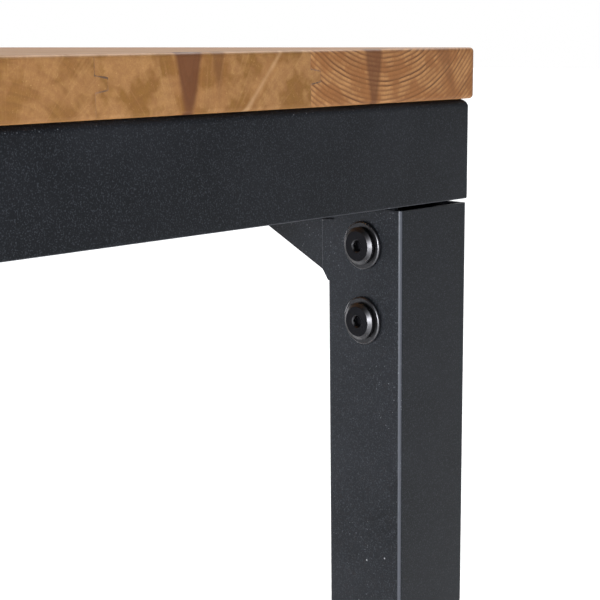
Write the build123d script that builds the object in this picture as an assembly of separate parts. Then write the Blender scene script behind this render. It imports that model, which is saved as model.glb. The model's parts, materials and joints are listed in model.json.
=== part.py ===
"""Entryway bench: solid-wood seat on a welded steel angle frame with four bolt-on square tube legs.

Millimetres. +X runs along the bench, +Y across it, +Z up. The origin is on the floor under the middle of the bench.
Corner pieces are drawn once, in a local frame whose origin is the outer bottom corner of the steel frame
(local X and Y run inwards as negative numbers, local Z = 0 is the frame's bottom edge), then mirrored to all four corners.
"""
from build123d import *
import os

# seat
SEAT_L = 1000.0
SEAT_W = 343.0
SEAT_T = 25.0
SEAT_TOP_Z = 450.0
STAVES = 3
TONGUE_DEPTH = 6.0
TONGUE_ROOT = 6.6
TONGUE_TIP = 4.6
SEAT_CORNER_R = 3.0
SEAT_EDGE_R = 2.0

# steel frame, folded angle
OVERHANG = 2.5
FRAME_L = SEAT_L - 2 * OVERHANG
FRAME_W = SEAT_W - 2 * OVERHANG
RAIL_H = 50.0
RAIL_FLANGE = 50.0
STEEL_T = 3.0
BEND_R = 4.0
RAIL_EDGE_R = 0.8
FRAME_Z = SEAT_TOP_Z - SEAT_T - RAIL_H
BRACE = 30.0

# legs, square tube
LEG = 50.0
LEG_WALL = 2.0
LEG_R = 2.0
LEG_GAP = 2.0
LEG_BOTTOM_Z = 19.0

# corner bracket, a flat plate whose wing runs under the long rail and whose tongue stands inside the leg
WING_X = -135.0
WING_KNEE = (-55.8, -36.4)
WING_END = (-50.7, -42.0)
TONGUE_X0 = -44.0
TONGUE_X1 = -6.0
TONGUE_Z = -75.0

# ear on the leg's inner wall, lapping over the bracket
EAR_X = -53.8
EAR_TOP_Z = -9.8
EAR_KNEE_Z = -35.9
EAR_END_Z = -41.4
EAR_NOTCH_X = -45.0

# M8 joint
BOLT_X = -24.5
BOLT_Z = (-20.7, -58.7)
BOLT_R = 4.0
BOLT_LEN = 16.0
HEAD_NECK = (8.6, 0.5)
HEAD_BASE = (9.3, 1.4)
HEAD_CONE = (7.5, 1.3)
KEY_AF = 5.2
KEY_DEPTH = 2.4
KEY_SINK_R = 3.3
WASHER_R = 12.0
WASHER_T = 2.0
NUT_AF = 13.0
NUT_T = 6.5
HOLE_R = 4.5

# levelling foot
PLUG_FLANGE = 4.0
PLUG_DEPTH = 20.0
INSERT_R = 6.5
INSERT_BORE_R = 4.05
PAD_R = 19.0
PAD_H = 8.0
BOSS_R = 5.0
BOSS_CLEAR = 0.05
BODY_GAP = 0.3
COLLAR_AF = 13.0
STUD_TOP_Z = 46.0

# seat screws
SCREW_INSET = 32.0
SCREW_R = 2.5
SCREW_HEAD_R = 4.6
SCREW_HEAD_T = 2.6
SCREW_LEN = 20.0
SCREW_WASHER_R = 6.5
SCREW_WASHER_T = 1.0
SCREW_HOLE_R = 2.9
LONG_SCREWS_X = (-400.0, -135.0, 135.0, 400.0)
CROSS_SCREWS_Y = (-100.0, 0.0, 100.0)


def box(x0, x1, y0, y1, z0, z1):
    return Pos((x0 + x1) / 2, (y0 + y1) / 2, (z0 + z1) / 2) * Box(abs(x1 - x0), abs(y1 - y0), abs(z1 - z0))


def rod(x, y, z0, z1, r):
    return Pos(x, y, (z0 + z1) / 2) * Cylinder(r, z1 - z0)


def rod_y(x, z, y0, y1, r):
    return Pos(x, (y0 + y1) / 2, z) * Rot(90, 0, 0) * Cylinder(r, y1 - y0)


def hexagon_z(x, y, z0, z1, across_flats):
    return extrude(Pos(x, y, z0) * RegularPolygon(across_flats / 2, 6, major_radius=False), z1 - z0)


def hexagon_y(x, z, y0, y1, across_flats):
    prism = extrude(RegularPolygon(across_flats / 2, 6, major_radius=False), y1 - y0)
    return Pos(x, y1, z) * Rot(90, 0, 0) * prism


def circles(shape, radius):
    return [e for e in shape.edges().filter_by(GeomType.CIRCLE) if abs(e.radius - radius) < 1e-3]


def screw_places():
    """Every seat screw: (x, y) through the long rails, the end rails and the brace."""
    places = []
    for x in LONG_SCREWS_X:
        for side in (-1, 1):
            places.append((x, side * (FRAME_W / 2 - SCREW_INSET)))
    for y in CROSS_SCREWS_Y:
        for side in (-1, 1):
            places.append((side * (FRAME_L / 2 - SCREW_INSET), y))
        places.append((2.0, y))
    return places


# ---------------------------------------------------------------- seat
def stave_profile(index):
    """Section of one stave in Y and Z: a tongue on its +Y edge, a matching groove on its -Y edge."""
    pitch = SEAT_W / STAVES
    y0 = -SEAT_W / 2 + index * pitch
    y1 = y0 + pitch
    z0 = SEAT_TOP_Z - SEAT_T
    z1 = SEAT_TOP_Z
    mid = z0 + SEAT_T / 2 + 1.0
    points = [(y0, z0), (y1, z0)]
    if index < STAVES - 1:
        points += [(y1, mid - TONGUE_ROOT / 2), (y1 + TONGUE_DEPTH, mid - TONGUE_TIP / 2)]
        points += [(y1 + TONGUE_DEPTH, mid + TONGUE_TIP / 2), (y1, mid + TONGUE_ROOT / 2)]
    points += [(y1, z1), (y0, z1)]
    if index > 0:
        points += [(y0, mid + TONGUE_ROOT / 2), (y0 + TONGUE_DEPTH, mid + TONGUE_TIP / 2)]
        points += [(y0 + TONGUE_DEPTH, mid - TONGUE_TIP / 2), (y0, mid - TONGUE_ROOT / 2)]
    return points


def seat_blank():
    slab = Pos(0, 0, SEAT_TOP_Z - SEAT_T / 2) * Box(SEAT_L, SEAT_W, SEAT_T)
    slab = fillet(slab.edges().filter_by(Axis.Z), SEAT_CORNER_R)
    rims = slab.edges().filter_by(lambda e: abs(e.center().Z - SEAT_TOP_Z + SEAT_T / 2) > SEAT_T / 2 - 0.01)
    return fillet(rims, SEAT_EDGE_R)


def seat_stave(index, blank):
    face = make_face(Polyline([(0, y, z) for y, z in stave_profile(index)], close=True))
    bar = Pos(-SEAT_L, 0, 0) * extrude(face, 2 * SEAT_L, dir=(1, 0, 0))
    stave = blank & bar
    z0 = SEAT_TOP_Z - SEAT_T
    for x, y in screw_places():
        stave -= rod(x, y, z0 - 1, z0 + SCREW_LEN - STEEL_T - SCREW_WASHER_T + 0.5, SCREW_R)
    return stave


# ---------------------------------------------------------------- frame
def angle_bar(length):
    """Folded angle along X, its outer bend on the line Y = 0, Z = RAIL_H, flanges towards -Y and -Z."""
    outer = box(-length / 2, length / 2, -RAIL_FLANGE, 0, 0, RAIL_H)
    outer = fillet(outer.edges().filter_by(Axis.X).sort_by(lambda e: e.center().Y + e.center().Z)[-1:], BEND_R)
    outer = fillet(outer.edges().filter_by(Axis.X).sort_by(lambda e: e.center().Y - e.center().Z)[-1:], RAIL_EDGE_R)
    inner = box(-length, length, -2 * RAIL_FLANGE, -STEEL_T, -RAIL_H, RAIL_H - STEEL_T)
    inner = fillet(inner.edges().filter_by(Axis.X).sort_by(lambda e: e.center().Y + e.center().Z)[-1:], 1.0)
    return outer - inner


def mitre(bar, length):
    """Cuts both ends of a bar at 45 degrees so that it meets its neighbour along the corner diagonal."""
    for side in (-1, 1):
        x = side * length / 2
        corner = [(x, 0), (x + side, 0), (x + side, -2 * RAIL_FLANGE), (x - side * 2 * RAIL_FLANGE, -2 * RAIL_FLANGE)]
        wedge = extrude(make_face(Polyline(corner, close=True)), RAIL_H * 3, dir=(0, 0, 1))
        bar -= Pos(0, 0, -RAIL_H) * wedge
    return bar


def drilled(bar):
    for x, y in screw_places():
        bar -= rod(x, y, FRAME_Z, FRAME_Z + RAIL_H + 5, SCREW_HOLE_R)
    return bar


def long_rail(side):
    bar = Pos(0, FRAME_W / 2, FRAME_Z) * mitre(angle_bar(FRAME_L), FRAME_L)
    if side < 0:
        bar = Rot(0, 0, 180) * bar
    return drilled(bar)


def end_rail(side):
    bar = Rot(0, 0, -90) * mitre(angle_bar(FRAME_W), FRAME_W)
    bar = Pos(FRAME_L / 2, 0, FRAME_Z) * bar
    if side < 0:
        bar = Rot(0, 0, 180) * bar
    return drilled(bar)


def cross_brace():
    half = FRAME_W / 2 - RAIL_FLANGE
    top = FRAME_Z + RAIL_H
    bar = box(-BRACE / 2, BRACE / 2, -half, half, top - STEEL_T, top)
    bar += box(-BRACE / 2, -BRACE / 2 + STEEL_T, -half, half, top - BRACE, top)
    return drilled(bar)


# ---------------------------------------------------------------- corner pieces, local frame
def leg_tube():
    """Square tube, open at the top, with a small ear on its inner wall and a slot in its back wall for the bracket."""
    z0 = LEG_BOTTOM_Z - FRAME_Z
    z1 = -LEG_GAP
    outer = box(-LEG, 0, -LEG, 0, z0, z1)
    outer = fillet(outer.edges().filter_by(Axis.Z), LEG_R)
    inner = box(-LEG + LEG_WALL, -LEG_WALL, -LEG + LEG_WALL, -LEG_WALL, z0 - 1, z1 + 1)
    tube = outer - fillet(inner.edges().filter_by(Axis.Z), 0.5)
    back = -LEG + LEG_WALL
    side = [(back, EAR_TOP_Z), (EAR_X, EAR_TOP_Z), (EAR_X, EAR_KNEE_Z), (-LEG, EAR_END_Z), (back, EAR_END_Z)]
    ear = extrude(make_face(Polyline([(x, -LEG, z) for x, z in side], close=True)), LEG_WALL, dir=(0, 1, 0))
    tube += fillet(ear.edges().filter_by(lambda e: e.center().X < -LEG - 0.5 and e.center().Y < -LEG + 0.01), 0.4)
    for z in BOLT_Z:
        tube -= rod_y(BOLT_X, z, -LEG - 1, back + 1, HOLE_R)
    tube -= box(-LEG - 1, EAR_NOTCH_X, -LEG - 1, back, EAR_TOP_Z, z1 + 1)
    return tube - box(-LEG - 1, back + 0.5, back, back + STEEL_T + 0.2, WING_END[1] - 3.0, z1 + 1)


def corner_bracket():
    """Flat plate: its wing hangs under the long rail, and its tongue stands in the leg behind the inner wall."""
    inside = -LEG + LEG_WALL
    top = RAIL_H - STEEL_T
    side = [(TONGUE_X1, top), (WING_X, top), (WING_X, 0), WING_KNEE, WING_END, (TONGUE_X0, WING_END[1] - 4.0)]
    side += [(TONGUE_X0, TONGUE_Z), (TONGUE_X1, TONGUE_Z)]
    outline = make_face(Polyline([(x, inside, z) for x, z in side], close=True))
    plate = extrude(outline, STEEL_T, dir=(0, 1, 0))
    for z in BOLT_Z:
        plate -= rod_y(BOLT_X, z, -LEG - 1, -LEG + 10, HOLE_R)
    return plate


def flat_washers():
    parts = []
    for z in BOLT_Z:
        ring = rod_y(BOLT_X, z, -LEG - WASHER_T, -LEG, WASHER_R)
        ring = fillet(circles(ring, WASHER_R), 0.85)
        parts.append(ring - rod_y(BOLT_X, z, -LEG - WASHER_T - 1, -LEG + 1, BOLT_R + 0.3))
    return Compound(parts)


def leg_bolts():
    """Wide flat-faced head on a short neck, hexagon socket with a countersunk mouth, plain shank."""
    parts = []
    y = -LEG - WASHER_T
    neck_r, neck_t = HEAD_NECK
    base_r, base_t = HEAD_BASE
    face_r, cone_t = HEAD_CONE
    face = y - neck_t - base_t - cone_t
    for z in BOLT_Z:
        head = rod_y(BOLT_X, z, y - neck_t, y, neck_r)
        head += rod_y(BOLT_X, z, y - neck_t - base_t, y - neck_t, base_r)
        head += Pos(BOLT_X, face + cone_t / 2, z) * Rot(90, 0, 0) * Cone(base_r, face_r, cone_t)
        head = fillet(circles(head, face_r), 0.35)
        head -= hexagon_y(BOLT_X, z, face - 1, face + KEY_DEPTH, KEY_AF)
        head -= Pos(BOLT_X, face + 0.4, z) * Rot(90, 0, 0) * Cone(KEY_AF / 2 - 0.1, KEY_SINK_R, 0.8)
        shank = rod_y(BOLT_X, z, y, y + BOLT_LEN, BOLT_R)
        tip = [e for e in circles(shank, BOLT_R) if e.center().Y > y + 1]
        parts.append(head + chamfer(tip, 1.0))
    return Compound(parts)


def weld_nuts():
    parts = []
    y0 = -LEG + LEG_WALL + STEEL_T
    for z in BOLT_Z:
        nut = hexagon_y(BOLT_X, z, y0, y0 + NUT_T, NUT_AF)
        parts.append(nut - rod_y(BOLT_X, z, y0 - 1, y0 + NUT_T + 1, BOLT_R + 0.03))
    return Compound(parts)


def leg_plug():
    z0 = LEG_BOTTOM_Z - FRAME_Z
    flange = box(-LEG, 0, -LEG, 0, z0 - PLUG_FLANGE, z0)
    flange = fillet(flange.edges().filter_by(Axis.Z), LEG_R)
    flange = chamfer(flange.faces().sort_by(Axis.Z)[0].edges(), 1.0)
    in0 = LEG_WALL + 0.1
    body = box(-LEG + in0, -in0, -LEG + in0, -in0, z0, z0 + PLUG_DEPTH)
    body = fillet(body.edges().filter_by(Axis.Z), 1.0)
    plug = flange + body
    plug -= rod(-LEG / 2, -LEG / 2, z0, z0 + PLUG_DEPTH + 1, INSERT_R)
    return plug - rod(-LEG / 2, -LEG / 2, z0 - PLUG_FLANGE - 1, z0 + 1, BOLT_R + 0.5)


def threaded_insert():
    z0 = LEG_BOTTOM_Z - FRAME_Z
    sleeve = rod(-LEG / 2, -LEG / 2, z0, z0 + PLUG_DEPTH, INSERT_R)
    return sleeve - rod(-LEG / 2, -LEG / 2, z0 - 1, z0 + PLUG_DEPTH + 1, INSERT_BORE_R)


def foot_pad():
    z0 = -FRAME_Z
    pad = rod(-LEG / 2, -LEG / 2, z0, z0 + PAD_H, PAD_R)
    upper = [e for e in circles(pad, PAD_R) if e.center().Z > z0 + 1]
    lower = [e for e in circles(pad, PAD_R) if e.center().Z < z0 + 1]
    pad = chamfer(upper, 3.0)
    pad = fillet([e for e in circles(pad, PAD_R) if e.center().Z < z0 + 1] or lower, 0.8)
    return pad - rod(-LEG / 2, -LEG / 2, z0 + 3.0, z0 + PAD_H + 1, BOSS_R + BOSS_CLEAR)


def foot_stud():
    z0 = -FRAME_Z
    x = -LEG / 2
    collar_top = LEG_BOTTOM_Z - PLUG_FLANGE - BODY_GAP
    stud = rod(x, x, z0 + 3.0 + BODY_GAP, z0 + PAD_H + BODY_GAP, BOSS_R)
    stud += hexagon_z(x, x, z0 + PAD_H + BODY_GAP, z0 + collar_top, COLLAR_AF)
    shaft = rod(x, x, z0 + collar_top, z0 + STUD_TOP_Z, BOLT_R)
    tip = [e for e in circles(shaft, BOLT_R) if e.center().Z > z0 + STUD_TOP_Z - 1]
    return stud + chamfer(tip, 1.0)


def at_corner(shape, sx, sy):
    placed = Pos(FRAME_L / 2, FRAME_W / 2, FRAME_Z) * shape
    if sx < 0:
        placed = mirror(placed, about=Plane.YZ)
    if sy < 0:
        placed = mirror(placed, about=Plane.XZ)
    return placed


# ---------------------------------------------------------------- seat fixings
def seat_screws():
    parts = []
    under = FRAME_Z + RAIL_H - STEEL_T - SCREW_WASHER_T
    for x, y in screw_places():
        head = rod(x, y, under - SCREW_HEAD_T, under, SCREW_HEAD_R)
        low = [e for e in circles(head, SCREW_HEAD_R) if e.center().Z < under - 1]
        head = fillet(low, 1.6)
        head -= box(x - 3.0, x + 3.0, y - 0.5, y + 0.5, under - SCREW_HEAD_T - 1, under - 1.2)
        head -= box(x - 0.5, x + 0.5, y - 3.0, y + 3.0, under - SCREW_HEAD_T - 1, under - 1.2)
        shank = rod(x, y, under, under + SCREW_LEN, SCREW_R)
        tip = [e for e in circles(shank, SCREW_R) if e.center().Z > under + 1]
        parts.append(head + chamfer(tip, 3.0, 1.6))
    return Compound(parts)


def seat_screw_washers():
    parts = []
    z1 = FRAME_Z + RAIL_H - STEEL_T
    for x, y in screw_places():
        ring = rod(x, y, z1 - SCREW_WASHER_T, z1, SCREW_WASHER_R)
        parts.append(ring - rod(x, y, z1 - 5, z1 + 1, SCREW_R + 0.3))
    return Compound(parts)


os.makedirs("parts", exist_ok=True)

blank = seat_blank()
for index, place in enumerate(("front", "middle", "back")):
    export_step(seat_stave(index, blank), f"parts/seat_stave_{place}.step")
for side, place in ((-1, "front"), (1, "back")):
    export_step(long_rail(side), f"parts/long_rail_{place}.step")
for side, place in ((-1, "left"), (1, "right")):
    export_step(end_rail(side), f"parts/end_rail_{place}.step")
export_step(cross_brace(), "parts/cross_brace.step")
export_step(seat_screws(), "parts/seat_screws.step")
export_step(seat_screw_washers(), "parts/seat_screw_washers.step")

corner_pieces = {
    "leg": leg_tube(),
    "corner_bracket": corner_bracket(),
    "leg_washers": flat_washers(),
    "leg_bolts": leg_bolts(),
    "weld_nuts": weld_nuts(),
    "leg_plug": leg_plug(),
    "threaded_insert": threaded_insert(),
    "foot_pad": foot_pad(),
    "foot_stud": foot_stud(),
}
for name, shape in corner_pieces.items():
    for sy, depth in ((-1, "front"), (1, "back")):
        for sx, hand in ((-1, "left"), (1, "right")):
            export_step(at_corner(shape, sx, sy), f"parts/{name}_{depth}_{hand}.step")
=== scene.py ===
import bpy
import json
import math
import random
from mathutils import Matrix, Vector

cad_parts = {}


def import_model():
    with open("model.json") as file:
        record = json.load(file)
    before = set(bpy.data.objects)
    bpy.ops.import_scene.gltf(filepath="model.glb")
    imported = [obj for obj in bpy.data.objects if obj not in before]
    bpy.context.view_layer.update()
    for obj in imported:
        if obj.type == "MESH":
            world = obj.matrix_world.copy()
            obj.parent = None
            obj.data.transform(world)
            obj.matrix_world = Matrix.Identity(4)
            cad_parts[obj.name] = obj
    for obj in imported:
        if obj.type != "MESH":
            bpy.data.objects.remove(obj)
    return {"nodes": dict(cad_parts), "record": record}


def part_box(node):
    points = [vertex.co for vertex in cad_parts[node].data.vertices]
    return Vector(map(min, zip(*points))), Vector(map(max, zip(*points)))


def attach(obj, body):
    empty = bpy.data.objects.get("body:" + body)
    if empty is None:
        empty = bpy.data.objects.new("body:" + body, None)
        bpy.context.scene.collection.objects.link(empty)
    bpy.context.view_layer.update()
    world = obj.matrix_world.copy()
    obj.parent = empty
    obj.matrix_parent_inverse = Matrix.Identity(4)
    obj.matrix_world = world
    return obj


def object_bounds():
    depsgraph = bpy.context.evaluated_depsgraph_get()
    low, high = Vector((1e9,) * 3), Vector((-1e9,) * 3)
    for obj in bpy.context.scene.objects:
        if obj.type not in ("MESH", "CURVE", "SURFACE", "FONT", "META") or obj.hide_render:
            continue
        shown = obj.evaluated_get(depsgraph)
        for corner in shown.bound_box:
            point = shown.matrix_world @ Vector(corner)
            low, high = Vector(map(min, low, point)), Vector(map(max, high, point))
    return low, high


# Looks for the entryway bench: solid wood, powder-coated steel, blackened bolts, glue lines and weld beads.
# Lengths are in metres. The camera looks at the back right corner, END_X and SIDE_Y.

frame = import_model()
cad_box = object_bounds()
nodes = frame["nodes"]
scene = bpy.context.scene
scene.view_settings.view_transform = "Standard"
scene.view_settings.look = "None"

ROOT = "bench"
SEAT_HIGH = cad_box[1]
SEAT_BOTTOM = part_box("seat_stave_back")[0][2]
SEAT_TOP = SEAT_HIGH[2]
FRAME_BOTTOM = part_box("end_rail_right")[0][2]
END_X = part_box("leg_back_right")[1][0]
SIDE_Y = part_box("leg_back_right")[1][1]
JOINT_Y = SEAT_HIGH[1] / 3
HANDS = (("left", -1), ("right", 1))
DEPTHS = (("front", -1), ("back", 1))
CORNERS = [(f"{depth}_{hand}", sx, sy) for depth, sy in DEPTHS for hand, sx in HANDS]


# ---------------------------------------------------------------- node graphs
class Graph:
    """A material with one Principled shader, and short names for the nodes that feed it."""

    def __init__(self, name):
        self.material = bpy.data.materials.new(name)
        self.material.use_nodes = True
        self.tree = self.material.node_tree
        self.tree.nodes.clear()
        output = self.tree.nodes.new("ShaderNodeOutputMaterial")
        self.shader = self.tree.nodes.new("ShaderNodeBsdfPrincipled")
        self.tree.links.new(self.shader.outputs[0], output.inputs["Surface"])
        self.coords = self.tree.nodes.new("ShaderNodeTexCoord").outputs["Object"]

    def put(self, socket, value):
        if isinstance(value, bpy.types.NodeSocket):
            self.tree.links.new(value, socket)
        else:
            socket.default_value = value

    def set(self, **values):
        for key, value in values.items():
            self.put(self.shader.inputs[key.replace("_", " ")], value)

    def math(self, operation, *values, clamp=False):
        node = self.tree.nodes.new("ShaderNodeMath")
        node.operation = operation
        node.use_clamp = clamp
        for socket, value in zip(node.inputs, values):
            self.put(socket, value)
        return node.outputs[0]

    def add(self, a, b):
        return self.math("ADD", a, b)

    def sub(self, a, b):
        return self.math("SUBTRACT", a, b)

    def mul(self, a, b, clamp=False):
        return self.math("MULTIPLY", a, b, clamp=clamp)

    def hypot(self, a, b):
        return self.math("SQRT", self.add(self.mul(a, a), self.mul(b, b)))

    def vector(self, operation, *values):
        node = self.tree.nodes.new("ShaderNodeVectorMath")
        node.operation = operation
        for socket, value in zip(node.inputs, values):
            self.put(socket, value)
        return node.outputs[0]

    def split(self, vector):
        node = self.tree.nodes.new("ShaderNodeSeparateXYZ")
        self.put(node.inputs[0], vector)
        return node.outputs[0], node.outputs[1], node.outputs[2]

    def join(self, x, y, z):
        node = self.tree.nodes.new("ShaderNodeCombineXYZ")
        for socket, value in zip(node.inputs, (x, y, z)):
            self.put(socket, value)
        return node.outputs[0]

    def stretched(self, x, y, z, offset):
        """Object coordinates scaled per axis. A different offset gives a different pattern."""
        scaled = self.vector("MULTIPLY", self.coords, (x, y, z))
        return self.vector("ADD", scaled, (offset, 1.7 * offset, 2.3 * offset))

    def noise(self, vector, scale=1.0, detail=2.0, rough=0.5):
        node = self.tree.nodes.new("ShaderNodeTexNoise")
        self.put(node.inputs["Vector"], vector)
        node.inputs["Scale"].default_value = scale
        node.inputs["Detail"].default_value = detail
        node.inputs["Roughness"].default_value = rough
        return node.outputs["Fac"]

    def even_noise(self, frequency, offset, **settings):
        """Noise of the same fineness along all three axes."""
        return self.noise(self.stretched(frequency, frequency, frequency, offset), **settings)

    def cells(self, vector, scale):
        """Distance to the nearest cell's point, and one random number per cell."""
        node = self.tree.nodes.new("ShaderNodeTexVoronoi")
        self.put(node.inputs["Vector"], vector)
        node.inputs["Scale"].default_value = scale
        return node.outputs["Distance"], self.split(node.outputs["Color"])[0]

    def span(self, value, low, high, to_low=0.0, to_high=1.0, smooth=True):
        """Maps low..high to to_low..to_high, and holds the ends."""
        node = self.tree.nodes.new("ShaderNodeMapRange")
        node.interpolation_type = "SMOOTHSTEP" if smooth else "LINEAR"
        for socket, item in zip(node.inputs, (value, low, high, to_low, to_high)):
            self.put(socket, item)
        return node.outputs[0]

    def ramp(self, value, stops):
        """A curve of (position, grey) stops."""
        node = self.tree.nodes.new("ShaderNodeValToRGB")
        self.put(node.inputs[0], value)
        elements = node.color_ramp.elements
        while len(elements) < len(stops):
            elements.new(0.5)
        for element, (position, grey) in zip(elements, stops):
            element.position = position
            element.color = (grey, grey, grey, 1.0)
        return node.outputs[0]

    def mix(self, factor, a, b):
        node = self.tree.nodes.new("ShaderNodeMix")
        node.data_type = "RGBA"
        self.put(node.inputs[0], factor)
        for socket, value in zip(node.inputs[6:8], (a, b)):
            self.put(socket, (*value, 1.0) if isinstance(value, tuple) else value)
        return node.outputs[2]

    def bump(self, height, strength, distance, normal=None):
        node = self.tree.nodes.new("ShaderNodeBump")
        node.inputs["Strength"].default_value = strength
        node.inputs["Distance"].default_value = distance
        self.put(node.inputs["Height"], height)
        if normal is not None:
            self.put(node.inputs["Normal"], normal)
        return node.outputs[0]

    def facing(self):
        """Absolute X, Y and Z of the surface's own direction."""
        geometry = self.tree.nodes.new("ShaderNodeNewGeometry")
        return self.split(self.vector("ABSOLUTE", geometry.outputs["Normal"]))

    def edge_highlight_mask(self):
        """0 on a face square to an axis, 0.5 halfway round an upright or a lower edge. It places the powder
        coat's painted edge highlight.
        """
        geometry = self.tree.nodes.new("ShaderNodeNewGeometry")
        x, y, z = self.split(geometry.outputs["Normal"])
        x, y = self.math("ABSOLUTE", x), self.math("ABSOLUTE", y)
        under = self.mul(z, -0.7, clamp=True)
        return self.add(self.mul(x, y), self.mul(under, self.add(x, y)))


def shade(colour, factor):
    return tuple(factor * c for c in colour)


# ---------------------------------------------------------------- wood
KNOT_BLUR = 0.0012
KNOT_WOBBLE = 0.0022
KNOT_RINGS_PER_M = 620.0
KNOT_HALO = 0.006
GRAIN_WANDER = 0.010
GRAIN_RIPPLE = 0.0016
GRAIN_DEPTH = 0.00012
SLOPE_FROM_X = 0.5
RING_PROFILE = [(0.0, 0.10), (0.34, 0.0), (0.58, 0.45), (0.78, 1.0), (0.92, 0.90), (1.0, 0.10)]
RAY_PALE = (0.36, 0.21, 0.09)
STREAK_BROWN = (0.150, 0.060, 0.018)
FIBRE_BROWN = (0.10, 0.038, 0.011)
PORE_PALE = (0.50, 0.31, 0.15)
SIDE_GRAIN = (0.33, 0.165, 0.058)
HALO_BROWN = (0.20, 0.080, 0.022)
KNOT_BROWN = (0.090, 0.030, 0.009)


def knot_mask(g, x, y, z, at, half_top, half_bottom, lean):
    """A branch that runs up through the board, as a cone about a near-vertical line."""
    roughness = g.noise(g.stretched(90, 90, 40, at[1] * 30), detail=3.0)
    wobble = g.mul(g.sub(roughness, 0.5), KNOT_WOBBLE)
    shift = g.mul(g.sub(z, SEAT_BOTTOM), lean)
    dx = g.sub(x, at[0])
    dy = g.sub(g.sub(y, at[1]), shift)
    radius = g.span(z, SEAT_BOTTOM, SEAT_TOP, half_bottom, half_top, smooth=False)
    inside = g.sub(radius, g.add(g.hypot(dx, dy), wobble))
    return g.span(inside, -KNOT_BLUR, KNOT_BLUR), inside


def wood(name, seed, pith, slope, spacing, contrast, early, late, tint, knots, rays=0.0):
    """Solid wood: growth rings are cylinders about the pith, given in Y and Z with a slope along X.

    Each knot is (X and Y, half width at the top, at the bottom, lean, strength, colour).
    """
    g = Graph(name)
    x, y, z = g.split(g.coords)
    slow = g.sub(g.noise(g.stretched(2.2, 9, 9, seed), detail=2.0), 0.5)
    fine = g.sub(g.noise(g.stretched(7, 70, 70, seed + 3), detail=3.0), 0.5)
    cy = g.add(pith[0], g.mul(g.sub(x, SLOPE_FROM_X), slope[0]))
    cz = g.add(pith[1], g.mul(g.sub(x, SLOPE_FROM_X), slope[1]))
    dy = g.add(g.sub(y, cy), g.mul(slow, GRAIN_WANDER))
    dz = g.add(g.sub(z, cz), g.mul(fine, GRAIN_RIPPLE))
    radius = g.hypot(dy, dz)
    turns = g.add(g.math("DIVIDE", radius, spacing), g.mul(slow, 1.1))
    year = g.noise(g.join(g.math("FLOOR", turns), seed, 0.5), scale=0.83, detail=0.0)
    band = g.ramp(g.math("FRACT", turns), RING_PROFILE)
    band = g.mul(band, g.span(year, 0.3, 0.7, 0.55, 1.0))

    end = g.span(g.facing()[0], 0.6, 0.8)
    fibre = g.noise(g.stretched(22, 1500, 1500, seed), detail=3.0, rough=0.65)
    streak = g.noise(g.stretched(3, 240, 240, seed + 1), detail=3.0, rough=0.6)
    pores = g.noise(g.stretched(300, 950, 950, seed + 2), detail=2.0, rough=0.7)
    patch = g.noise(g.stretched(16, 84, 84, seed + 5), detail=3.0, rough=0.55)
    angle = g.math("ARCTAN2", dy, dz)
    ray = g.noise(g.join(g.mul(angle, 46.0), g.mul(radius, 26.0), g.mul(x, 10.0)), detail=2.0)

    colour = g.mix(g.mul(band, contrast, clamp=True), early, late)
    colour = g.mix(g.span(patch, 0.42, 0.60, 0.0, 0.85), colour, tint)
    colour = g.mix(g.mul(band, contrast * 0.45, clamp=True), colour, late)
    colour = g.mix(g.span(ray, 0.52, 0.72, 0.0, rays), colour, RAY_PALE)
    colour = g.mix(g.span(streak, 0.30, 0.70, 0.42, 0.0), colour, STREAK_BROWN)
    colour = g.mix(g.span(fibre, 0.34, 0.66, 0.20, 0.0), colour, FIBRE_BROWN)
    bright = g.mul(end, g.span(pores, 0.62, 0.76, 0.0, 0.26))
    colour = g.mix(g.mul(bright, g.sub(1.0, band)), colour, PORE_PALE)
    colour = g.mix(g.mul(g.sub(1.0, end), 0.35), colour, SIDE_GRAIN)
    for at, top, bottom, lean, strength, dark in knots:
        mask, inside = knot_mask(g, x, y, z, at, top, bottom, lean)
        rings = g.math("FRACT", g.mul(inside, KNOT_RINGS_PER_M))
        heart = g.mix(g.mul(rings, 0.35), dark, shade(dark, 0.62))
        halo = g.span(inside, -KNOT_HALO, 0.0, 0.0, 0.35 * strength)
        colour = g.mix(halo, colour, HALO_BROWN)
        colour = g.mix(g.mul(mask, strength), colour, heart)
    rough = g.span(g.add(fibre, patch), 0.7, 1.3, 0.62, 0.50)
    relief = g.add(g.mul(fibre, 0.6), g.mul(band, -0.5))
    g.set(Base_Color=colour, Roughness=rough, Normal=g.bump(relief, 0.35, GRAIN_DEPTH))
    g.set(Specular_IOR_Level=0.20, Coat_Weight=0.05, Coat_Roughness=0.30, Coat_IOR=1.45)
    return g.material


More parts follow.
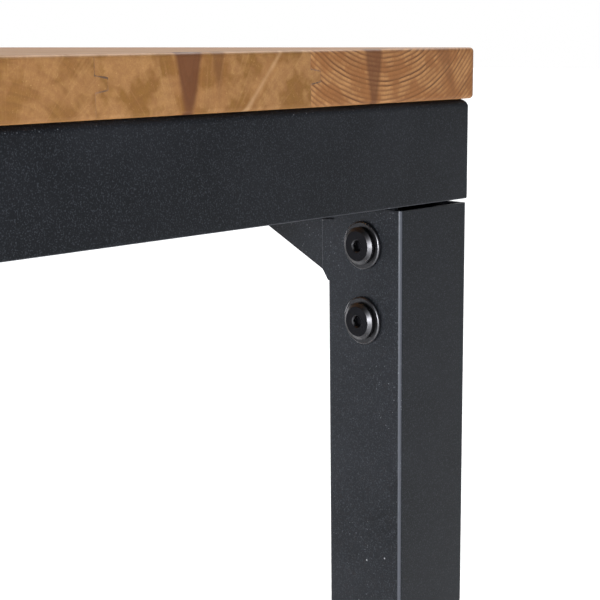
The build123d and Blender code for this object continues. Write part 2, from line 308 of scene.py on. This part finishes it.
wood_back = wood(
    "wood_back", 3.1, (0.1045, 0.5000), (0.035, 0.050), 0.0021, 0.95,
    (0.345, 0.172, 0.065), (0.062, 0.020, 0.005), (0.200, 0.076, 0.019),
    [((0.4985, 0.0978), 0.0058, 0.0024, 0.0, 0.72, (0.085, 0.028, 0.008)),
     ((0.4990, 0.1560), 0.0050, 0.0006, -0.4, 0.30, (0.09, 0.032, 0.010)),
     ((0.118, 0.092), 0.0085, 0.0060, 0.1, 0.85, KNOT_BROWN),
     ((-0.342, 0.139), 0.0062, 0.0050, 0.0, 0.80, KNOT_BROWN)],
)
wood_middle = wood(
    "wood_middle", 11.7, (-0.010, 0.3850), (-0.020, -0.055), 0.0042, 0.16,
    (0.165, 0.078, 0.015), (0.120, 0.046, 0.009), (0.275, 0.142, 0.052),
    [((0.4975, -0.0118), 0.0072, 0.0034, 0.04, 0.88, (0.085, 0.027, 0.008)),
     ((0.4990, 0.0045), 0.0034, 0.0003, 0.0, 0.50, (0.10, 0.036, 0.012)),
     ((0.4990, 0.0190), 0.0011, 0.0016, 0.84, 0.55, (0.40, 0.25, 0.13)),
     ((-0.085, 0.024), 0.0098, 0.0070, 0.0, 0.88, KNOT_BROWN),
     ((-0.418, -0.031), 0.0056, 0.0042, 0.0, 0.80, KNOT_BROWN)],
    rays=0.20,
)
wood_front = wood(
    "wood_front", 23.4, (-0.098, 0.4020), (0.045, -0.045), 0.0036, 0.24,
    (0.175, 0.084, 0.020), (0.100, 0.039, 0.010), (0.255, 0.130, 0.047),
    [((0.310, -0.132), 0.0080, 0.0062, 0.0, 0.86, KNOT_BROWN),
     ((-0.205, -0.089), 0.0052, 0.0040, 0.0, 0.80, KNOT_BROWN)],
    rays=0.20,
)


# ---------------------------------------------------------------- steel, bolts, plastic
COAT_DARK = (0.0026, 0.0030, 0.0040)
COAT_LIGHT = (0.0058, 0.0064, 0.0082)
COAT_MOTTLE = (0.018, 0.020, 0.024)
# Painted highlight colour for the coat's upright and lower edges.
COAT_EDGE_HIGHLIGHT = (0.044, 0.047, 0.056)
COAT_SPECK = (0.16, 0.17, 0.19)
COAT_FLECK = (0.30, 0.31, 0.33)
PEEL_DEPTH = 0.00010
GRIT_DEPTH = 0.00003
BOLT_GRAIN_DEPTH = 0.00002
ZINC_GRAIN_DEPTH = 0.00003
THREAD_DEPTH = 0.0006
PLASTIC_DEPTH = 0.00006
M8_PITCH = 0.00125
SHAFT_EDGE = (0.0041, 0.0043)


def powder_coat():
    """Fine black coat with orange peel and pale specks, and a painted highlight on curved edges."""
    g = Graph("powder_coat")
    cloud = g.even_noise(14, 1.0, detail=4.0, rough=0.6)
    mottle = g.even_noise(1500, 4.0, detail=1.0, rough=0.7)
    peel = g.even_noise(620, 2.0, detail=1.0)
    grit = g.even_noise(2600, 3.0, detail=2.0, rough=0.7)
    spot, chance = g.cells(g.coords, 1100.0)
    dust_area = g.span(g.even_noise(26, 9.0, detail=3.0), 0.42, 0.66)
    speck = g.mul(g.span(spot, 0.16, 0.32, 1.0, 0.0), g.span(chance, 0.92, 0.95))
    speck = g.mul(speck, g.add(0.25, g.mul(dust_area, 0.9)), clamp=True)
    fluff, luck = g.cells(g.stretched(1, 1, 1, 5.0), 160.0)
    fleck = g.mul(g.span(fluff, 0.05, 0.10, 1.0, 0.0), g.span(luck, 0.93, 0.95))
    colour = g.mix(g.span(cloud, 0.35, 0.68), COAT_DARK, COAT_LIGHT)
    colour = g.mix(g.span(mottle, 0.52, 0.70), colour, COAT_MOTTLE)
    # Painted highlight: upright and lower edges get a lighter coat colour in place of the light they catch.
    colour = g.mix(g.span(g.edge_highlight_mask(), 0.20, 0.46), colour, COAT_EDGE_HIGHLIGHT)
    colour = g.mix(g.mul(speck, 0.70), colour, COAT_SPECK)
    colour = g.mix(g.mul(fleck, 0.7), colour, COAT_FLECK)
    rough = g.span(g.add(cloud, mottle), 0.7, 1.3, 0.34, 0.44)
    normal = g.bump(peel, 0.16, PEEL_DEPTH)
    normal = g.bump(grit, 0.22, GRIT_DEPTH, normal)
    g.set(Base_Color=colour, Roughness=rough, Normal=normal, Specular_IOR_Level=0.16)
    g.set(Specular_Tint=(0.88, 0.94, 1.0, 1.0))
    return g.material


def blackened(name, face, rim_highlight):
    """Blackened steel: dark on faces square to Y, with a painted highlight on bevels and rims."""
    g = Graph(name)
    cloud = g.even_noise(160, 6.0, detail=4.0, rough=0.65)
    grain = g.even_noise(2400, 7.0, detail=2.0, rough=0.7)
    # Painted highlight: bevels and rims, picked out by their direction, get a brighter metal colour than
    # the faces.
    side = g.span(g.facing()[1], 0.86, 0.985, 1.0, 0.0)
    # Grain specks everywhere, with more on bevels and rims as part of the painted highlight.
    grain_and_rim_highlight = g.add(0.12, g.mul(side, 0.40))
    colour = g.mix(side, face, rim_highlight)
    colour = g.mix(g.span(cloud, 0.35, 0.7, 0.0, 0.5), colour, shade(face, 0.6))
    colour = g.mix(g.mul(grain_and_rim_highlight, g.span(grain, 0.56, 0.70)), colour, shade(rim_highlight, 1.3))
    rough = g.span(cloud, 0.3, 0.7, 0.26, 0.36)
    g.set(Base_Color=colour, Roughness=rough, Metallic=1.0, Normal=g.bump(grain, 0.22, BOLT_GRAIN_DEPTH))
    return g.material


def zinc(name, base):
    """Plated metal with faint crystal patches."""
    g = Graph(name)
    tone = g.cells(g.coords, 420.0)[1]
    grain = g.even_noise(900, 8.0, detail=3.0, rough=0.6)
    colour = g.mix(g.span(tone, 0.0, 1.0, 0.0, 0.4), base, shade(base, 0.72))
    colour = g.mix(g.span(grain, 0.4, 0.7, 0.0, 0.3), colour, shade(base, 0.5))
    g.set(Base_Color=colour, Metallic=1.0, Roughness=g.span(grain, 0.3, 0.7, 0.30, 0.46))
    g.set(Normal=g.bump(grain, 0.2, ZINC_GRAIN_DEPTH))
    return g.material


def threaded(name, base, axis_x, axis_y):
    """Plated metal with the ridges of an M8 thread, wound about a vertical line, and painted shade in its
    grooves.
    """
    g = Graph(name)
    x, y, z = g.split(g.coords)
    across, along = g.sub(x, axis_x), g.sub(y, axis_y)
    angle = g.math("ARCTAN2", along, across)
    lead = g.sub(g.math("DIVIDE", z, M8_PITCH), g.math("DIVIDE", angle, 2 * math.pi))
    ridge = g.math("PINGPONG", lead, 0.5)
    shaft = g.span(g.hypot(across, along), *SHAFT_EDGE, 1.0, 0.0)
    grain = g.even_noise(900, 8.5, detail=3.0, rough=0.6)
    # Painted shade: the thread's grooves are darkened in place of the shade that falls in them.
    groove = g.mul(g.span(ridge, 0.0, 0.3, 1.0, 0.0), shaft)
    colour = g.mix(g.mul(groove, 0.7), base, shade(base, 0.3))
    colour = g.mix(g.span(grain, 0.4, 0.7, 0.0, 0.3), colour, shade(base, 0.5))
    height = g.add(g.mul(ridge, g.mul(shaft, 1.6)), g.mul(grain, 0.05))
    g.set(Base_Color=colour, Metallic=1.0, Roughness=g.span(grain, 0.3, 0.7, 0.28, 0.42))
    g.set(Normal=g.bump(height, 0.9, THREAD_DEPTH))
    return g.material


def plastic():
    g = Graph("black_plastic")
    grain = g.even_noise(1500, 2.5, detail=2.0, rough=0.6)
    wear = g.even_noise(60, 3.5, detail=4.0, rough=0.65)
    colour = g.mix(g.span(wear, 0.4, 0.72), (0.012, 0.012, 0.013), (0.030, 0.030, 0.031))
    rough = g.span(wear, 0.3, 0.7, 0.50, 0.66)
    g.set(Base_Color=colour, Roughness=rough, Normal=g.bump(grain, 0.35, PLASTIC_DEPTH))
    g.set(Specular_IOR_Level=0.4)
    return g.material


def glue():
    g = Graph("glue_line")
    tone = g.even_noise(260, 5.5, detail=3.0)
    colour = g.mix(g.span(tone, 0.35, 0.65), (0.055, 0.026, 0.012), (0.17, 0.085, 0.04))
    g.set(Base_Color=colour, Roughness=0.6)
    return g.material


ZINC = (0.56, 0.56, 0.54)
BRASS = (0.72, 0.52, 0.22)
finishes = {
    "powder_coat": powder_coat(),
    # The second colour of each blackened finish is its painted rim highlight.
    "bolt_black": blackened("bolt_black", (0.010, 0.010, 0.012), (0.070, 0.070, 0.075)),
    "washer_black": blackened("washer_black", (0.040, 0.040, 0.043), (0.110, 0.110, 0.118)),
    "zinc_steel": zinc("zinc_steel", ZINC),
    "insert_brass": zinc("insert_brass", BRASS),
    "black_plastic": plastic(),
}
staves = {"seat_stave_back": wood_back, "seat_stave_middle": wood_middle, "seat_stave_front": wood_front}
for part in frame["record"]["subparts"]:
    name = part["node"]
    finish = staves.get(name) or finishes[part["material_slot"]]
    if name.startswith("foot_stud"):
        low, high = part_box(name)
        corner = name.removeprefix("foot_stud_")
        finish = threaded(f"thread_{corner}", ZINC, (low[0] + high[0]) / 2, (low[1] + high[1]) / 2)
    mesh = nodes[name].data
    mesh.materials.clear()
    mesh.materials.append(finish)


# ---------------------------------------------------------------- added pieces
GLUE_PROUD = 0.00002
GLUE_STEP = 0.0006
GLUE_HALF = (0.00003, 0.00012)
BLOB_HALF = (0.00005, 0.00035)
BLOB_AT = 0.003
BLOB_REACH = 0.0008
TONGUE_RISE = 0.001
TONGUE_LENGTH = 0.006
TONGUE_ROOT = 0.0033
TONGUE_TIP = 0.0023
EDGE_GAP = 0.0012
BEAD_STEP = 0.0009
BEAD_ARC = 9
BEAD_SUNK = 0.0002
WELD_SIZE = 0.0022
BRACE_WELD_SIZE = 0.0020
WELD_MARGIN = 0.001
BRACE_WELD_MARGINS = (0.005, 0.002)
RAIL_THICK = 0.003
BRACKET_INSET = 0.048
BRACKET_SPAN = (0.066, 0.130)
BRACE_INSET = 0.050


def piece(name, vertices, faces, material, smooth=True):
    mesh = bpy.data.meshes.new(name)
    mesh.from_pydata(vertices, [], faces)
    mesh.validate()
    if smooth:
        mesh.shade_smooth()
    thing = bpy.data.objects.new(name, mesh)
    scene.collection.objects.link(thing)
    thing.data.materials.append(material)
    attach(thing, ROOT)


def glue_line(name, joint_y, x_sign, material):
    """A thin dark line of uneven width round one tongue-and-groove joint, on the end of the seat."""
    rng = random.Random(name)
    end = x_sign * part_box("seat_stave_middle")[1][0]
    mid = (SEAT_BOTTOM + SEAT_TOP) / 2 + TONGUE_RISE
    outline = [
        (joint_y, SEAT_BOTTOM + EDGE_GAP),
        (joint_y, mid - TONGUE_ROOT),
        (joint_y + TONGUE_LENGTH, mid - TONGUE_TIP),
        (joint_y + TONGUE_LENGTH, mid + TONGUE_TIP),
        (joint_y, mid + TONGUE_ROOT),
        (joint_y, SEAT_TOP - EDGE_GAP),
    ]
    points = []
    for (ya, za), (yb, zb) in zip(outline, outline[1:]):
        steps = max(2, int(math.hypot(yb - ya, zb - za) / GLUE_STEP))
        points += [(ya + (yb - ya) * i / steps, za + (zb - za) * i / steps) for i in range(steps)]
    points.append(outline[-1])
    vertices, faces = [], []
    x = end + x_sign * GLUE_PROUD
    for i, (y, z) in enumerate(points):
        ya, za = points[max(i - 1, 0)]
        yb, zb = points[min(i + 1, len(points) - 1)]
        length = math.hypot(yb - ya, zb - za) or 1.0
        half = rng.uniform(*GLUE_HALF)
        if abs(abs(z - mid) - BLOB_AT) < BLOB_REACH:
            half += rng.uniform(*BLOB_HALF)
        ny, nz = -(zb - za) / length * half, (yb - ya) / length * half
        vertices += [(x, y + ny, z + nz), (x, y - ny, z - nz)]
    for i in range(len(points) - 1):
        faces.append((2 * i, 2 * i + 1, 2 * i + 3, 2 * i + 2))
    piece(name, vertices, faces, material, smooth=False)


def bead(name, start, stop, lean, size, material):
    """A weld bead: a rippled ridge along an inside corner. lean is the direction out of the corner."""
    rng = random.Random(name)
    a, b, out = Vector(start), Vector(stop), Vector(lean).normalized()
    side = (b - a).normalized().cross(out)
    count = max(8, int((b - a).length / BEAD_STEP))
    vertices, faces = [], []
    for i in range(count + 1):
        t = i / count
        taper = min(1.0, 7 * t + 0.15, 7 * (1 - t) + 0.15)
        ripple = 1.0 + 0.10 * math.sin(i * 0.9 * 2) + rng.uniform(-0.03, 0.03)
        centre = a + (b - a) * t
        for k in range(BEAD_ARC):
            turn = math.pi * k / (BEAD_ARC - 1)
            spread = side * math.cos(turn) * size * taper
            rise = out * math.sin(turn) * size * 0.62 * taper * ripple
            vertices.append(tuple(centre + spread + rise - out * BEAD_SUNK))
    for i in range(count):
        for k in range(BEAD_ARC - 1):
            p = i * BEAD_ARC + k
            faces.append((p, p + 1, p + BEAD_ARC + 1, p + BEAD_ARC))
    faces.append(tuple(range(BEAD_ARC)))
    faces.append(tuple(count * BEAD_ARC + k for k in reversed(range(BEAD_ARC))))
    piece(name, vertices, faces, material)


glue_material = glue()
for joint, joint_sign in DEPTHS:
    for hand, sign in HANDS:
        glue_line(f"glue_line_{joint}_{hand}", joint_sign * JOINT_Y, sign, glue_material)

coat = finishes["powder_coat"]
flange = SEAT_BOTTOM - RAIL_THICK
for name, sx, sy in CORNERS:
    outer = sx * END_X
    y = sy * (SIDE_Y - BRACKET_INSET)
    near, far = (outer - sx * reach for reach in BRACKET_SPAN)
    bead(f"bracket_weld_{name}", (near, y, flange), (far, y, flange), (0, -sy, -1), WELD_SIZE, coat)
    inside = (outer - sx * RAIL_THICK, sy * (SIDE_Y - RAIL_THICK))
    start, stop = (*inside, FRAME_BOTTOM + WELD_MARGIN), (*inside, flange - WELD_MARGIN)
    bead(f"corner_weld_{name}", start, stop, (-sx, -sy, 0), WELD_SIZE, coat)
low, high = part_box("cross_brace")
for place, sy in DEPTHS:
    y = sy * (SIDE_Y - BRACE_INSET)
    start = (low[0] + BRACE_WELD_MARGINS[0], y, flange)
    stop = (high[0] - BRACE_WELD_MARGINS[1], y, flange)
    bead(f"brace_weld_{place}", start, stop, (0, -0.2 * sy, -1), BRACE_WELD_SIZE, coat)


# ---------------------------------------------------------------- stage, light, camera
FLOOR_REACH = 15
BACKDROP = (-0.72, 0.69, 0.0)
STUDIO_TONE = (0.50, 0.52, 0.55, 1.0)
BACKDROP_TONE = (1.0, 1.0, 1.0, 1.0)
HEADING = math.radians(44.755)
PITCH = math.radians(11.408)
ROLL = math.radians(-0.443)
CAMERA_AT = (END_X + 0.4313, SIDE_Y - 0.5299, FRAME_BOTTOM + 0.0806)


def floor():
    r = FLOOR_REACH
    mesh = bpy.data.meshes.new("floor")
    mesh.from_pydata([(-r, -r, 0), (r, -r, 0), (r, r, 0), (-r, r, 0)], [], [(0, 1, 2, 3)])
    thing = bpy.data.objects.new("floor", mesh)
    scene.collection.objects.link(thing)
    g = Graph("floor")
    tone = g.even_noise(3, 0.4, detail=3.0)
    colour = g.mix(g.span(tone, 0.3, 0.7), (0.87, 0.87, 0.87), (0.90, 0.90, 0.90))
    g.set(Base_Color=colour, Roughness=0.8)
    mesh.materials.append(g.material)


def area(name, at, to, size, energy):
    """A rectangular light at one point, aimed at another."""
    light = bpy.data.lights.new(name, "AREA")
    light.shape = "RECTANGLE"
    light.size, light.size_y = size
    light.energy = energy
    thing = bpy.data.objects.new(name, light)
    scene.collection.objects.link(thing)
    thing.visible_camera = False
    thing.location = at
    thing.rotation_euler = (Vector(to) - Vector(at)).to_track_quat("-Z", "Y").to_euler()


def sun(name, heading, height, spread, strength):
    """Even light from a wide patch of sky. All three angles are in degrees."""
    light = bpy.data.lights.new(name, "SUN")
    light.energy = strength
    light.angle = math.radians(spread)
    thing = bpy.data.objects.new(name, light)
    scene.collection.objects.link(thing)
    heading, height = math.radians(heading), math.radians(height)
    flat = math.cos(height)
    at = Vector((math.cos(heading) * flat, math.sin(heading) * flat, math.sin(height)))
    thing.rotation_euler = at.to_track_quat("Z", "Y").to_euler()


def world():
    """A dim, cool studio with a white backdrop on the far side of the bench."""
    sky = bpy.data.worlds.new("studio")
    scene.world = sky
    sky.use_nodes = True
    tree = sky.node_tree
    toward = tree.nodes.new("ShaderNodeVectorMath")
    toward.operation = "DOT_PRODUCT"
    tree.links.new(tree.nodes.new("ShaderNodeTexCoord").outputs["Generated"], toward.inputs[0])
    toward.inputs[1].default_value = BACKDROP
    blend = tree.nodes.new("ShaderNodeMapRange")
    blend.interpolation_type = "SMOOTHSTEP"
    tree.links.new(toward.outputs["Value"], blend.inputs[0])
    blend.inputs[1].default_value = 0.30
    blend.inputs[2].default_value = 0.80
    tone = tree.nodes.new("ShaderNodeMix")
    tone.data_type = "RGBA"
    tree.links.new(blend.outputs[0], tone.inputs[0])
    tone.inputs[6].default_value = STUDIO_TONE
    tone.inputs[7].default_value = BACKDROP_TONE
    tree.links.new(tone.outputs[2], tree.nodes["Background"].inputs[0])


def aim(heading, pitch, roll):
    """The camera's rotation: heading turns from -X toward +Y, pitch looks down, roll is about the view."""
    flat = math.cos(pitch)
    forward = Vector((-math.cos(heading) * flat, math.sin(heading) * flat, -math.sin(pitch)))
    level = forward.cross(Vector((0, 0, 1))).normalized()
    rise = level.cross(forward)
    right = math.cos(roll) * level + math.sin(roll) * rise
    up = -math.sin(roll) * level + math.cos(roll) * rise
    return Matrix((right, up, -forward)).transposed().to_4x4()


floor()
world()
sun("softbox", 105, 54, 30, 3.3)
area("edge_strip", (END_X + 0.40, SIDE_Y - 1.44, 0.36), (END_X, SIDE_Y, 0.36), (0.16, 0.36), 40)
area("rim_light", (-1.6, -0.02, 0.24), (END_X - 0.02, SIDE_Y - 0.05, 0.33), (0.30, 0.30), 7)

camera = bpy.data.objects.new("camera", bpy.data.cameras.new("camera"))
scene.collection.objects.link(camera)
scene.camera = camera
camera.data.sensor_width = 36.0
camera.data.lens = 80.92
camera.data.shift_x = -0.04
camera.data.shift_y = 0.015
camera.data.clip_start = 0.02
camera.matrix_world = Matrix.Translation(CAMERA_AT) @ aim(HEADING, PITCH, ROLL)

bpy.context.view_layer.update()
